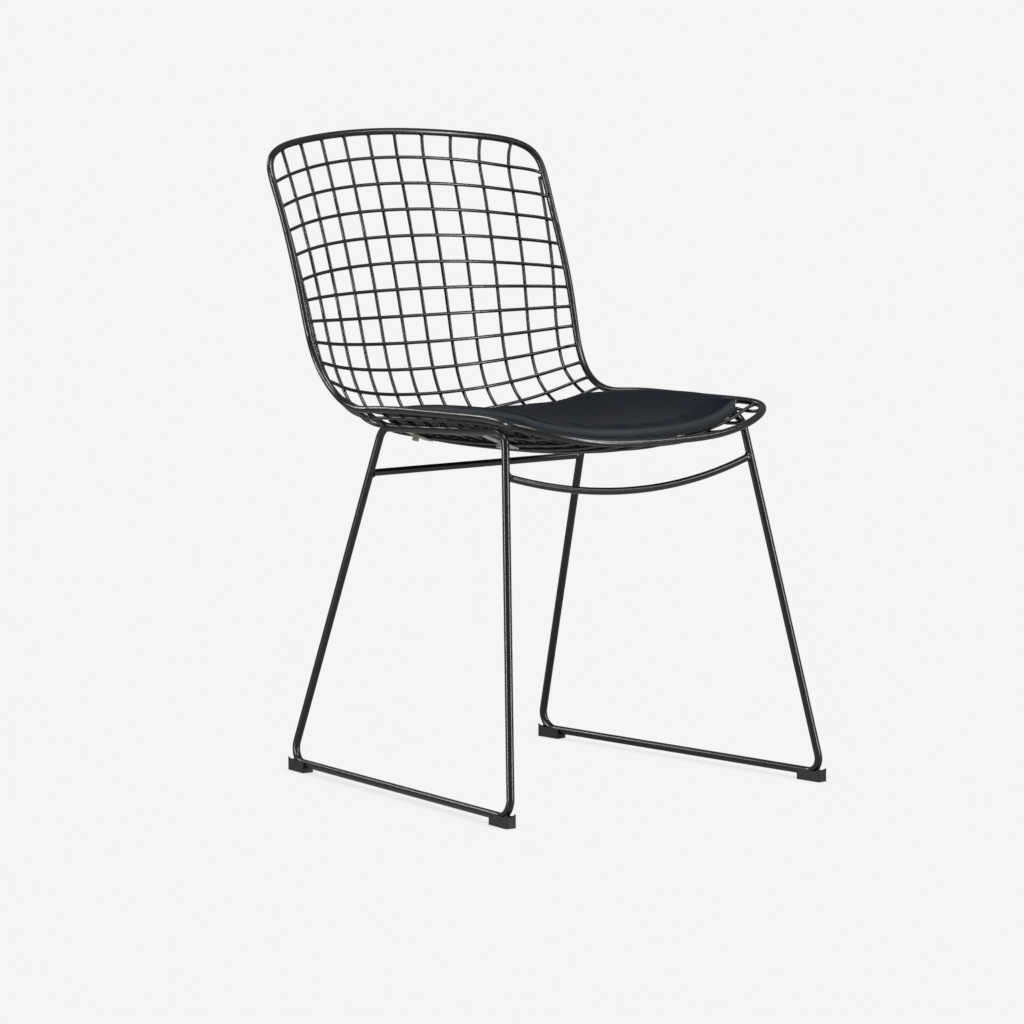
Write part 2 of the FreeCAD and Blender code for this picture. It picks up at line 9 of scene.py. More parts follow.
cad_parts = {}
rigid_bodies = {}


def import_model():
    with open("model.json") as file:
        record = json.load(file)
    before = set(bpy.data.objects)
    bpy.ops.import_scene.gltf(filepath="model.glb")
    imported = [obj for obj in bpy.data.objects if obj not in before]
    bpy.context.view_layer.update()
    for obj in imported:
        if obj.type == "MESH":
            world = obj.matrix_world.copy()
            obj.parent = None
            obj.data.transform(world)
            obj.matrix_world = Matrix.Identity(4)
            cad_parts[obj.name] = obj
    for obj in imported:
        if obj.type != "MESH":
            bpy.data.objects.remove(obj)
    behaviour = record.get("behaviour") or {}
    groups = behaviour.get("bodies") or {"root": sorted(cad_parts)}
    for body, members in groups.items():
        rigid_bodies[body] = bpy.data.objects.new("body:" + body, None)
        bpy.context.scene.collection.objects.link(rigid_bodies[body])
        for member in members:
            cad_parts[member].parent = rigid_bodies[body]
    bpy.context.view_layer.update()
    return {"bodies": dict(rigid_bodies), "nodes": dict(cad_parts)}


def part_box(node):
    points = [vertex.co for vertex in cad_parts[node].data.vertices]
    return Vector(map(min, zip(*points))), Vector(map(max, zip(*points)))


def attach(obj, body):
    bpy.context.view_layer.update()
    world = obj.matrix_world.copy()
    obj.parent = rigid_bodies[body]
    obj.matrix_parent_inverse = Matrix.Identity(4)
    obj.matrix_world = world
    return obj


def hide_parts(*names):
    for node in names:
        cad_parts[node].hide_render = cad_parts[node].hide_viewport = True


# Wire mesh chair: finishes, welds and a sewn leather seat pad round the CAD frame.
# Metres throughout; MM turns a size in millimetres into metres.

MM = 0.001

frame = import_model()
nodes = frame["nodes"]
BODY = sorted(frame["bodies"])[0]
scene = bpy.context.scene

LONG_WIRES = sorted(name for name in nodes if name.startswith("long_wire"))
CROSS_WIRES = sorted(name for name in nodes if name.startswith("cross_wire"))
SIDE_FRAMES = ["side_frame_right", "side_frame_left"]
BARS = ["rear_bar", "front_bar"]
GLIDES = sorted(name for name in nodes if name.startswith("glide"))
FIXINGS = sorted(name for name in nodes if name.startswith("pad_fixing"))
WIRE_RADIUS = 2.2 * MM
BAR_RADIUS = 4.5 * MM


# Materials

def new_material(name):
    """Material with its Principled shader, node tree and object coordinates."""
    made = bpy.data.materials.new(name)
    made.use_nodes = True
    tree = made.node_tree
    shader = tree.nodes["Principled BSDF"]
    place = tree.nodes.new("ShaderNodeTexCoord").outputs["Object"]
    return made, tree, shader, place


def noise(tree, place, scale, detail=4.0, roughness=0.5):
    """Noise factor at this scale in object space."""
    node = tree.nodes.new("ShaderNodeTexNoise")
    node.inputs["Scale"].default_value = scale
    node.inputs["Detail"].default_value = detail
    node.inputs["Roughness"].default_value = roughness
    tree.links.new(place, node.inputs["Vector"])
    return node.outputs["Fac"]


def ramp(tree, factor, stops):
    """Colour ramp with (position, colour) stops; a plain number is a grey."""
    node = tree.nodes.new("ShaderNodeValToRGB")
    band = node.color_ramp
    while len(band.elements) < len(stops):
        band.elements.new(0.5)
    for element, (position, colour) in zip(band.elements, stops):
        element.position = position
        if not isinstance(colour, tuple):
            colour = (colour, colour, colour)
        element.color = (*colour, 1.0)
    tree.links.new(factor, node.inputs["Fac"])
    return node.outputs["Color"]


def scaled(tree, factor, low, high):
    """A factor from 0 to 1 spread over this range."""
    node = tree.nodes.new("ShaderNodeMapRange")
    node.inputs["To Min"].default_value = low
    node.inputs["To Max"].default_value = high
    tree.links.new(factor, node.inputs["Value"])
    return node.outputs["Result"]


def bump(tree, height, distance, strength=1.0, below=None):
    """Normal of this relief, laid over the relief below it."""
    node = tree.nodes.new("ShaderNodeBump")
    node.inputs["Distance"].default_value = distance
    node.inputs["Strength"].default_value = strength
    tree.links.new(height, node.inputs["Height"])
    if below is not None:
        tree.links.new(below, node.inputs["Normal"])
    return node.outputs["Normal"]


def powder_coat(name, tone):
    """Gloss black powder coat: orange peel, fine grain and faint handling marks."""
    made, tree, shader, place = new_material(name)
    colour = ramp(tree, noise(tree, place, 40.0),
                  [(0.3, (tone, tone * 0.95, tone)), (0.7, (tone * 1.6, tone * 1.5, tone * 1.6))])
    tree.links.new(colour, shader.inputs["Base Color"])
    gloss = scaled(tree, noise(tree, place, 55.0, 6.0, 0.6), 0.18, 0.3)
    tree.links.new(gloss, shader.inputs["Roughness"])
    peel = bump(tree, noise(tree, place, 420.0, 2.0), 0.05 * MM, 0.1)
    grain = bump(tree, noise(tree, place, 1500.0, 2.0), 0.01 * MM, 0.1, peel)
    tree.links.new(grain, shader.inputs["Normal"])
    shader.inputs["Specular IOR Level"].default_value = 0.6
    return made


def moulded_plastic():
    """Matte black nylon with a spark-eroded grain, rubbed smoother here and there."""
    made, tree, shader, place = new_material("glide_nylon")
    colour = ramp(tree, noise(tree, place, 90.0),
                  [(0.35, (0.006, 0.0055, 0.0055)), (0.75, (0.011, 0.0105, 0.0105))])
    tree.links.new(colour, shader.inputs["Base Color"])
    tree.links.new(scaled(tree, noise(tree, place, 160.0, 5.0), 0.42, 0.62),
                   shader.inputs["Roughness"])
    grain = bump(tree, noise(tree, place, 1400.0, 3.0, 0.6), 0.06 * MM, 0.6)
    tree.links.new(grain, shader.inputs["Normal"])
    return made


def zinc_steel():
    """Zinc plated steel with a cloudy, slightly warm bloom."""
    made, tree, shader, place = new_material("fixing_zinc")
    colour = ramp(tree, noise(tree, place, 180.0, 5.0),
                  [(0.3, (0.46, 0.44, 0.40)), (0.7, (0.70, 0.68, 0.63))])
    tree.links.new(colour, shader.inputs["Base Color"])
    shader.inputs["Metallic"].default_value = 1.0
    tree.links.new(scaled(tree, noise(tree, place, 300.0, 5.0), 0.22, 0.42),
                   shader.inputs["Roughness"])
    brushed = bump(tree, noise(tree, place, 1600.0, 3.0), 0.03 * MM, 0.5)
    tree.links.new(brushed, shader.inputs["Normal"])
    return made


GRAIN_DRIFT = 1.6 * MM


def leather(name, dark, light, gloss_low, gloss_high):
    """Black-navy coated leather: pebbled grain, pores and soft creasing."""
    made, tree, shader, place = new_material(name)
    cells = tree.nodes.new("ShaderNodeTexVoronoi")
    cells.feature = "DISTANCE_TO_EDGE"
    cells.inputs["Scale"].default_value = 640.0
    cells.inputs["Randomness"].default_value = 1.0
    warp = tree.nodes.new("ShaderNodeVectorMath")
    warp.operation = "MULTIPLY_ADD"
    drift = tree.nodes.new("ShaderNodeTexNoise")
    drift.inputs["Scale"].default_value = 220.0
    drift.inputs["Detail"].default_value = 2.0
    tree.links.new(place, drift.inputs["Vector"])
    tree.links.new(drift.outputs["Color"], warp.inputs[0])
    warp.inputs[1].default_value = (GRAIN_DRIFT, GRAIN_DRIFT, GRAIN_DRIFT)
    tree.links.new(place, warp.inputs[2])
    tree.links.new(warp.outputs["Vector"], cells.inputs["Vector"])
    pebble = ramp(tree, cells.outputs["Distance"], [(0.0, 0.0), (0.16, 0.75), (0.5, 1.0)])
    colour = ramp(tree, noise(tree, place, 14.0, 5.0, 0.6), [(0.3, dark), (0.72, light)])
    tree.links.new(colour, shader.inputs["Base Color"])
    tree.links.new(scaled(tree, noise(tree, place, 60.0, 6.0, 0.65), gloss_low, gloss_high),
                   shader.inputs["Roughness"])
    creases = bump(tree, noise(tree, place, 36.0, 4.0, 0.6), 0.5 * MM, 0.22)
    pores = bump(tree, noise(tree, place, 2600.0, 3.0), 0.03 * MM, 0.4, creases)
    grain = bump(tree, pebble, 0.09 * MM, 0.5, pores)
    tree.links.new(grain, shader.inputs["Normal"])
    shader.inputs["Specular IOR Level"].default_value = 0.12
    return made


def backing_cloth():
    """Black non-woven lining under the pad: felted fibres with a point-bonded pattern."""
    made, tree, shader, place = new_material("pad_lining")
    colour = ramp(tree, noise(tree, place, 700.0, 6.0, 0.7),
                  [(0.3, (0.009, 0.009, 0.01)), (0.7, (0.03, 0.03, 0.032))])
    tree.links.new(colour, shader.inputs["Base Color"])
    shader.inputs["Roughness"].default_value = 0.9
    dots = tree.nodes.new("ShaderNodeTexVoronoi")
    dots.inputs["Scale"].default_value = 420.0
    dots.inputs["Randomness"].default_value = 0.15
    tree.links.new(place, dots.inputs["Vector"])
    bonded = bump(tree, dots.outputs["Distance"], 0.2 * MM, 0.4)
    fibres = bump(tree, noise(tree, place, 1800.0, 5.0, 0.7), 0.1 * MM, 0.6, bonded)
    tree.links.new(fibres, shader.inputs["Normal"])
    shader.inputs["Sheen Weight"].default_value = 0.2
    return made


def sewing_thread():
    """Twisted black polyester thread."""
    made, tree, shader, place = new_material("pad_thread")
    twist = tree.nodes.new("ShaderNodeTexWave")
    twist.bands_direction = "DIAGONAL"
    twist.inputs["Scale"].default_value = 900.0
    twist.inputs["Distortion"].default_value = 1.0
    tree.links.new(place, twist.inputs["Vector"])
    colour = ramp(tree, twist.outputs["Fac"],
                  [(0.2, (0.004, 0.004, 0.005)), (0.8, (0.014, 0.014, 0.016))])
    tree.links.new(colour, shader.inputs["Base Color"])
    shader.inputs["Roughness"].default_value = 0.55
    tree.links.new(bump(tree, twist.outputs["Fac"], 0.08 * MM, 0.7), shader.inputs["Normal"])
    return made


ROD_COAT = powder_coat("rod_powder_coat", 0.004)
WIRE_COAT = powder_coat("wire_powder_coat", 0.005)
NYLON = moulded_plastic()
ZINC = zinc_steel()
TOP_LEATHER = leather("pad_top_leather", (0.0008, 0.0022, 0.0062), (0.0016, 0.0038, 0.0092),
                      0.42, 0.56)
# Painted sheen: the band is the same black-navy leather as the top, but its base colour is a
# lighter grey that stands in for light catching the band.
BAND_LEATHER_PAINTED_SHEEN = leather("pad_band_leather_painted_sheen", (0.019, 0.0225, 0.0275), (0.028, 0.033, 0.039),
                       0.46, 0.6)
LINING = backing_cloth()
THREAD = sewing_thread()


def dress(name, material):
    """Gives a CAD node this material alone."""
    mesh = nodes[name].data
    mesh.materials.clear()
    mesh.materials.append(material)


for name in ["rim_rod"] + SIDE_FRAMES + BARS:
    dress(name, ROD_COAT)
for name in LONG_WIRES + CROSS_WIRES:
    dress(name, WIRE_COAT)
for name in GLIDES:
    dress(name, NYLON)
for name in FIXINGS:
    dress(name, ZINC)


# Mesh helpers

def surface_of(name):
    """Search tree of a CAD node's faces."""
    mesh = nodes[name].data
    corners = [vertex.co.copy() for vertex in mesh.vertices]
    return BVHTree.FromPolygons(corners, [tuple(face.vertices) for face in mesh.polygons])


SURFACES = {name: surface_of(name) for name in nodes}


def new_piece(name, mesh_data, materials):
    """Object on the chair's body, with its materials."""
    piece = bpy.data.objects.new(name, mesh_data)
    scene.collection.objects.link(piece)
    for material in materials:
        mesh_data.materials.append(material)
    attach(piece, BODY)
    return piece


def mesh_from(build, name):
    """Runs build(bm) on an empty mesh and returns smooth shaded mesh data."""
    bm = bmesh.new()
    build(bm)
    bmesh.ops.recalc_face_normals(bm, faces=bm.faces)
    for face in bm.faces:
        face.smooth = True
    data = bpy.data.meshes.new(name)
    bm.to_mesh(data)
    bm.free()
    return data


def axes_along(direction):
    """Rotation that turns +Z to this direction."""
    return direction.to_track_quat("Z", "Y").to_matrix().to_4x4()


def add_turned(bm, place, profile, segments=14):
    """Closed surface of revolution about local Z; profile holds (height, radius) pairs."""
    rings = []
    for height, radius in profile:
        ring = []
        for step in range(segments):
            angle = 2 * math.pi * step / segments
            local = Vector((radius * math.cos(angle), radius * math.sin(angle), height))
            ring.append(bm.verts.new(place @ local))
        rings.append(ring)
    for lower, upper in zip(rings, rings[1:]):
        for step in range(segments):
            after = (step + 1) % segments
            bm.faces.new((lower[step], lower[after], upper[after], upper[step]))
    bm.faces.new(rings[0][::-1])
    bm.faces.new(rings[-1])


BEAD_STEPS = 6
BEAD_CUT = 0.06


def add_bead(bm, centre, axis, across, along, segments=12):
    """Flattened round bead: this radius across its axis and this half height along it.

    BEAD_CUT is the share of the half turn that is left flat at each pole.
    """
    place = Matrix.Translation(centre) @ axes_along(axis)
    profile = []
    for step in range(BEAD_STEPS + 1):
        angle = math.pi * (BEAD_CUT + (1 - 2 * BEAD_CUT) * step / BEAD_STEPS) - math.pi / 2
        profile.append((along * math.sin(angle), across * math.cos(angle)))
    add_turned(bm, place, profile, segments)


# Welds

STEPS_TO_MEET = 12


def touching_points(first, second, start):
    """Nearest points of two surfaces, found by stepping from one to the other."""
    here = start
    for _ in range(STEPS_TO_MEET):
        there = SURFACES[second].find_nearest(here)[0]
        here = SURFACES[first].find_nearest(there)[0]
    return here, SURFACES[second].find_nearest(here)[0]


def near_start(first, second, stride=5):
    """Vertex of the first piece that lies nearest to the second one."""
    best, start = 1.0, None
    for vertex in list(nodes[first].data.vertices)[::stride]:
        distance = SURFACES[second].find_nearest(vertex.co)[3]
        if distance < best:
            best, start = distance, vertex.co.copy()
    return start


END_REACH = 3.2 * WIRE_RADIUS
END_FACE_DEPTH = 1.6 * MM


def wire_end(name, outwards):
    """Centre of a wire's end, the farthest one along the outwards direction."""
    rim = SURFACES["rim_rod"]
    corners = [vertex.co for vertex in nodes[name].data.vertices]
    tip = max(corners, key=lambda corner: corner.dot(outwards))
    near = [corner for corner in corners if (corner - tip).length < END_REACH]
    reach = min(rim.find_nearest(corner)[3] for corner in near)
    ring = [corner for corner in near if rim.find_nearest(corner)[3] < reach + END_FACE_DEPTH]
    return sum(ring, Vector()) / len(ring)


COLLAR_STEPS = 7
COLLAR_SEGMENTS = 16
COLLAR_SINK = 0.6
COLLAR_START = 0.98
COLLAR_CURVE = 2.4


def add_collar(bm, centre, towards, radius, flare, length):
    """Weld fillet that widens from a rod's own size to the face that it is welded to.

    It starts a little inside the rod, at COLLAR_START of its radius, and goes on past the face
    by COLLAR_SINK of its flare.
    """
    place = Matrix.Translation(centre) @ axes_along(towards)
    profile = []
    for step in range(COLLAR_STEPS + 1):
        share = step / COLLAR_STEPS
        profile.append((-length + share * (length + COLLAR_SINK * flare),
                        radius * COLLAR_START + flare * share ** COLLAR_CURVE))
    add_turned(bm, place, profile, COLLAR_SEGMENTS)


CROSSING_GAP = 0.6 * MM
CROSSING_BEAD = (1.75 * MM, 0.95 * MM)


def build_crossing_welds(bm):
    """A small bead wherever a cross wire touches a long one."""
    for cross in CROSS_WIRES:
        for long_name in LONG_WIRES:
            start = near_start(cross, long_name, 9)
            here, there = touching_points(cross, long_name, start)
            if (here - there).length < CROSSING_GAP:
                axis = (there - here).normalized() if here != there else Vector((0, 0, 1))
                add_bead(bm, (here + there) / 2, axis, *CROSSING_BEAD)


END_FLARE = 1.3 * MM
END_COLLAR = 3.2 * MM


def build_end_welds(bm):
    """A collar at each wire's two ends, where they meet the rim."""
    ends = []
    for name in CROSS_WIRES:
        ends.append((name, Vector((1, 0, 0))))
        ends.append((name, Vector((-1, 0, 0))))
    for name in LONG_WIRES:
        ends.append((name, Vector((0, 0, 1))))
        ends.append((name, Vector((0, -1, 0))))
    for name, outwards in ends:
        centre = wire_end(name, outwards)
        rim_point = SURFACES["rim_rod"].find_nearest(centre)[0]
        towards = (rim_point - centre).normalized()
        add_collar(bm, rim_point, towards, WIRE_RADIUS, END_FLARE, END_COLLAR)


BAR_END_DEPTH = 12 * MM
BAR_INNER_START = 14 * MM
BAR_INNER_DEPTH = 40 * MM


def bar_end(name, side):
    """Centre and outward direction of a bar's end on this side."""
    corners = [vertex.co for vertex in nodes[name].data.vertices]
    tip = max(corner.x * side for corner in corners)
    last = [corner for corner in corners if tip - corner.x * side < BAR_END_DEPTH]
    inner = [corner for corner in corners if tip - corner.x * side > BAR_INNER_START]
    nearest = min(tip - corner.x * side for corner in inner)
    before = [corner for corner in inner if tip - corner.x * side < nearest + BAR_INNER_DEPTH]
    middles = []
    for group in (last, before):
        low = Vector([min(corner[axis] for corner in group) for axis in range(3)])
        high = Vector([max(corner[axis] for corner in group) for axis in range(3)])
        middles.append((low + high) / 2)
    return middles[0], (middles[0] - middles[1]).normalized()


BAR_FLARE = 2.0 * MM
BAR_COLLAR = 6.0 * MM
CAST_START = 30 * MM
RAIL_GAP = 2.6 * MM
RAIL_BEAD = 2.6 * MM
RAIL_OVERLAP = 1.3 * MM


def build_frame_welds(bm):
    """Collars where the bars meet the legs, and beads where the mesh rests on the rails."""
    for bar in BARS:
        for side, side_frame in ((1, "side_frame_right"), (-1, "side_frame_left")):
            centre, heading = bar_end(bar, side)
            hit = SURFACES[side_frame].ray_cast(centre - heading * CAST_START, heading)[0]
            add_collar(bm, hit, heading, BAR_RADIUS, BAR_FLARE, BAR_COLLAR)
    for side_frame in SIDE_FRAMES:
        for wire in CROSS_WIRES + LONG_WIRES:
            start = near_start(wire, side_frame, 7)
            here, there = touching_points(wire, side_frame, start)
            gap = (here - there).length
            if gap < RAIL_GAP:
                middle = (here + there) / 2
                add_bead(bm, middle, Vector((0, 0, 1)), RAIL_BEAD, gap / 2 + RAIL_OVERLAP)


def plain_piece(name, build, material):
    """Piece of one material from a function that fills its mesh."""
    new_piece(name, mesh_from(build, name), [material])


plain_piece("mesh_crossing_welds", build_crossing_welds, WIRE_COAT)
plain_piece("wire_end_welds", build_end_welds, WIRE_COAT)
plain_piece("frame_welds", build_frame_welds, ROD_COAT)


# Seat pad: lining, hem, band and a crowned top panel, sewn together along two seams

PAD_LOW, PAD_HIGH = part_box("seat_pad")
PAD_HALF = (PAD_HIGH.x - PAD_LOW.x) / 2
PAD_TUCK = 2.5 * MM
PAD_FRONT = PAD_LOW.y + PAD_TUCK
PAD_REAR = PAD_HIGH.y - PAD_TUCK
FRONT_BOW = 34 * MM
REAR_BOW = 62 * MM
FRONT_ROUNDING = 0.12
REAR_ROUNDING = 0.42
PAD_COLUMNS = 68
PAD_ROWS = 72
PAD_CROWN = 6.0 * MM
PAD_MOST_SWELL = 3.0 * MM
SWELL_FRAMES = 20

# How far each seam line lies inside the outline, and how high above the pad's underside.
HEM_UNDER = (5.0 * MM, 0.2 * MM)
HEM_EDGE = (0.6 * MM, 0.3 * MM)
HEM_TOP = (0.0 * MM, 2.4 * MM)
LOWER_SEAM = (1.1 * MM, 3.4 * MM)
BAND_FOOT = (0.2 * MM, 4.4 * MM)
BAND_MIDDLE = (-0.6 * MM, 8.8 * MM)
BAND_HEAD = (0.7 * MM, 13.9 * MM)
UPPER_SEAM = (4.0 * MM, 14.9 * MM)
PANEL_EDGE = (4.1 * MM, 16.3 * MM)
PANEL_ROLL = (7.0 * MM, 17.5 * MM)


def underside(x, y):
    """Height of the CAD pad's underside, read a little inside its edge."""
    hit = SURFACES["seat_pad"].ray_cast(Vector((x, y, PAD_LOW.z - 0.1)), Vector((0, 0, 1)))[0]
    return hit.z if hit else None


def rounded_square(s, t):
    """Square coordinates pulled in at the corners, more at the rear than at the front."""
    share = (t + 1) / 2
    rounding = FRONT_ROUNDING + (REAR_ROUNDING - FRONT_ROUNDING) * share * share
    return (s * math.sqrt(1 - rounding * t * t / 2), t * math.sqrt(1 - rounding * s * s / 2))


def pad_plan(s, t, inset):
    """Place in plan for square coordinates from -1 to 1, this far inside the outline."""
    across, along = rounded_square(s, t)
    x = (PAD_HALF - inset) * across
    front = PAD_FRONT + FRONT_BOW * across ** 2 + inset
    rear = PAD_REAR - REAR_BOW * abs(across) ** 3 - inset
    return x, front + (along + 1) / 2 * (rear - front)


base_heights = {}
PULL_STEP = 0.992


def base_height(s, t):
    """Height of the underside here, or at the nearest place inwards where the pad has one."""
    key = (round(s, 4), round(t, 4))
    if key not in base_heights:
        height = None
        pull = 1.0
        while height is None:
            pull *= PULL_STEP
            height = underside(*pad_plan(s * pull, t * pull, 0.0))
        base_heights[key] = height
    return base_heights[key]


def square_loop():
    """Square coordinates once round the outline, from the front left corner."""
    loop = []
    for column in range(PAD_COLUMNS):
        loop.append((-1 + 2 * column / PAD_COLUMNS, -1.0))
    for row in range(PAD_ROWS):
        loop.append((1.0, -1 + 2 * row / PAD_ROWS))
    for column in range(PAD_COLUMNS):
        loop.append((1 - 2 * column / PAD_COLUMNS, 1.0))
    for row in range(PAD_ROWS):
        loop.append((-1.0, 1 - 2 * row / PAD_ROWS))
    return loop


LOOP = square_loop()


def ring_point(s, t, line):
    """Point of a seam line for square coordinates."""
    inset, rise = line
    x, y = pad_plan(s, t, inset)
    return Vector((x, y, base_height(s, t) + rise))


def panel_grid(bm, line, crown):
    """Grid of vertices inside a seam line, lifted by the crown in the middle."""
    grid = {}
    inset, rise = line
    for column in range(PAD_COLUMNS + 1):
        for row in range(PAD_ROWS + 1):
            s = -1 + 2 * column / PAD_COLUMNS
            t = -1 + 2 * row / PAD_ROWS
            x, y = pad_plan(s, t, inset)
            swell = crown * (1 - abs(s) ** 5) * (1 - abs(t) ** 4)
            grid[column, row] = bm.verts.new((x, y, base_height(s, t) + rise + swell))
    return grid


def grid_loop(grid):
    """The grid's border vertices in the order of LOOP."""
    loop = [grid[column, 0] for column in range(PAD_COLUMNS)]
    loop += [grid[PAD_COLUMNS, row] for row in range(PAD_ROWS)]
    loop += [grid[PAD_COLUMNS - column, PAD_ROWS] for column in range(PAD_COLUMNS)]
    loop += [grid[0, PAD_ROWS - row] for row in range(PAD_ROWS)]
    return loop


PAD_LINES = [HEM_EDGE, HEM_TOP, LOWER_SEAM, BAND_FOOT, BAND_MIDDLE, BAND_HEAD, UPPER_SEAM,
             PANEL_EDGE]
LINING_SLOT, BAND_SLOT, TOP_SLOT = 0, 1, 2
UPPER_SEAM_RING = PAD_LINES.index(UPPER_SEAM) + 1


def build_pad(bm):
    """Lining, seam lines and top panel, joined into one closed skin."""
    lower = panel_grid(bm, HEM_UNDER, 0.0)
    upper = panel_grid(bm, PANEL_ROLL, PAD_CROWN)
    rings = [grid_loop(lower)]
    for line in PAD_LINES:
        rings.append([bm.verts.new(ring_point(s, t, line)) for s, t in LOOP])
    rings.append(grid_loop(upper))
    count = len(LOOP)
    for number, (below, above) in enumerate(zip(rings, rings[1:])):
        for step in range(count):
            after = (step + 1) % count
            face = bm.faces.new((below[step], below[after], above[after], above[step]))
            face.material_index = BAND_SLOT if number < UPPER_SEAM_RING else TOP_SLOT
    for column in range(PAD_COLUMNS):
        for row in range(PAD_ROWS):
            for grid, slot in ((lower, LINING_SLOT), (upper, TOP_SLOT)):
                face = bm.faces.new((grid[column, row], grid[column + 1, row],
                                     grid[column + 1, row + 1], grid[column, row + 1]))
                face.material_index = slot


def swell_pad(piece):
    """Cloth under pressure: the top panel fills out between its seams, and no point goes far."""
    mesh = piece.data
    rest = [vertex.co.copy() for vertex in mesh.vertices]
    held = piece.vertex_groups.new(name="held")
    top_faces = [face for face in mesh.polygons if face.material_index == TOP_SLOT]
    loose = {index for face in top_faces for index in face.vertices}
    firm = [index for index in range(len(rest)) if index not in loose]
    held.add(firm, 1.0, "REPLACE")
    cloth = piece.modifiers.new("swell", "CLOTH")
    cloth.settings.quality = 6
    cloth.settings.mass = 0.4
    cloth.settings.tension_stiffness = 25
    cloth.settings.compression_stiffness = 25
    cloth.settings.shear_stiffness = 12
    cloth.settings.bending_stiffness = 4.0
    cloth.settings.use_pressure = True
    cloth.settings.uniform_pressure_force = 2.0
    cloth.settings.vertex_group_mass = "held"
    cloth.settings.effector_weights.gravity = 0.0
    cloth.collision_settings.use_collision = False
    for number in range(1, SWELL_FRAMES + 1):
        scene.frame_set(number)
    graph = bpy.context.evaluated_depsgraph_get()
    swollen = [vertex.co.copy() for vertex in piece.evaluated_get(graph).data.vertices]
    piece.modifiers.remove(cloth)
    scene.frame_set(1)
    for vertex, before, after in zip(mesh.vertices, rest, swollen):
        move = after - before
        if move.length > PAD_MOST_SWELL:
            move = move.normalized() * PAD_MOST_SWELL
        vertex.co = before + move


pad = new_piece("pad_cushion", mesh_from(build_pad, "pad_cushion"),
                [LINING, BAND_LEATHER_PAINTED_SHEEN, TOP_LEATHER])
swell_pad(pad)
finer = pad.modifiers.new("finer", "SUBSURF")
finer.levels = 1
finer.render_levels = 1
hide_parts("seat_pad")


def loop_at(share, line):
    """Point and running direction at this share of the way round the pad."""
    place = (share % 1.0) * len(LOOP)
    index = int(place)
    part = place - index
    here = ring_point(*LOOP[index % len(LOOP)], line)
    ahead = ring_point(*LOOP[(index + 1) % len(LOOP)], line)
    point = here.lerp(ahead, part)
    run = (ahead - here).normalized()
    return point, run


THREAD_TAPER = 0.55


def add_thread(bm, points, radius, sides=6):
    """Short thread along points, with tapered ends."""
    rings = []
    count = len(points)
    for index, point in enumerate(points):
        ahead = points[min(index + 1, count - 1)] - points[max(index - 1, 0)]
        turn = axes_along(ahead.normalized())
        thick = radius * (THREAD_TAPER if index in (0, count - 1) else 1.0)
        ring = []
        for side in range(sides):
            angle = 2 * math.pi * side / sides
            offset = turn @ Vector((thick * math.cos(angle), thick * math.sin(angle), 0))
            ring.append(bm.verts.new(point + offset))
        rings.append(ring)
    for lower, upper in zip(rings, rings[1:]):
        for side in range(sides):
            after = (side + 1) % sides
            bm.faces.new((lower[side], lower[after], upper[after], upper[side]))
    bm.faces.new(rings[0][::-1])
    bm.faces.new(rings[-1])


STITCH_PITCH = 4.4 * MM
THREAD_RADIUS = 0.55 * MM
THREAD_PROUD = 0.28 * MM
THREAD_SLANT = 0.9 * MM


def running_lengths(line):
    """Length of a seam line up to each of its points, and at last its whole length."""
    points = [ring_point(s, t, line) for s, t in LOOP]
    lengths = [0.0]
    for index in range(len(points)):
        ahead = points[(index + 1) % len(points)]
        lengths.append(lengths[-1] + (ahead - points[index]).length)
    return lengths


def build_overlock(bm):
    """Overlock loops that grip the hem and reach up on to the band."""
    lengths = running_lengths(HEM_TOP)
    count = round(lengths[-1] / STITCH_PITCH)
    index = 0
    for number in range(count):
        wanted = number / count * lengths[-1]
        while lengths[index + 1] < wanted:
            index += 1
        part = (wanted - lengths[index]) / (lengths[index + 1] - lengths[index])
        share = (index + part) / len(LOOP)
        under, run = loop_at(share, HEM_EDGE)
        hem = loop_at(share, HEM_TOP)[0]
        seam = loop_at(share, LOWER_SEAM)[0]
        foot = loop_at(share, BAND_FOOT)[0]
        middle = loop_at(share, BAND_MIDDLE)[0]
        outwards = run.cross(Vector((0, 0, 1))).normalized()
        slant = run * THREAD_SLANT
        proud = outwards * THREAD_PROUD
        points = [under + proud, hem + proud * 1.3, seam + proud * 2.6 + slant * 0.3,
                  foot + proud * 1.2 + slant * 0.7, foot.lerp(middle, 0.3) + proud * 0.7 + slant]
        add_thread(bm, points, THREAD_RADIUS)


SEAM_PITCH = 4.2 * MM
SEAM_STITCH_SHARE = 0.68
SEAM_THREAD_RADIUS = 0.3 * MM
SEAM_LIFT = Vector((0, 0, 0.35 * MM))


def build_seam_stitches(bm):
    """Fine lockstitches in the crease between the band and the top panel."""
    count = round(running_lengths(UPPER_SEAM)[-1] / SEAM_PITCH)
    for number in range(count):
        start = loop_at(number / count, UPPER_SEAM)[0]
        finish = loop_at((number + SEAM_STITCH_SHARE) / count, UPPER_SEAM)[0]
        middle = (start + finish) / 2 + SEAM_LIFT * 1.4
        add_thread(bm, [start, start.lerp(middle, 0.5) + SEAM_LIFT, middle,
                        finish.lerp(middle, 0.5) + SEAM_LIFT, finish], SEAM_THREAD_RADIUS)


plain_piece("pad_overlock_thread", build_overlock, THREAD)
plain_piece("pad_seam_thread", build_seam_stitches, THREAD)


# Stage: pale floor, soft studio light, camera

BACKDROP = 0.913
FLOOR_GREY = 0.35
FLOOR_RADIUS = 40.0
CONTACT_SHADE = 0.62
CONTACT_REACH = 30 * MM
ROOM_STRENGTH = 0.1


MIRRORED = 0.2


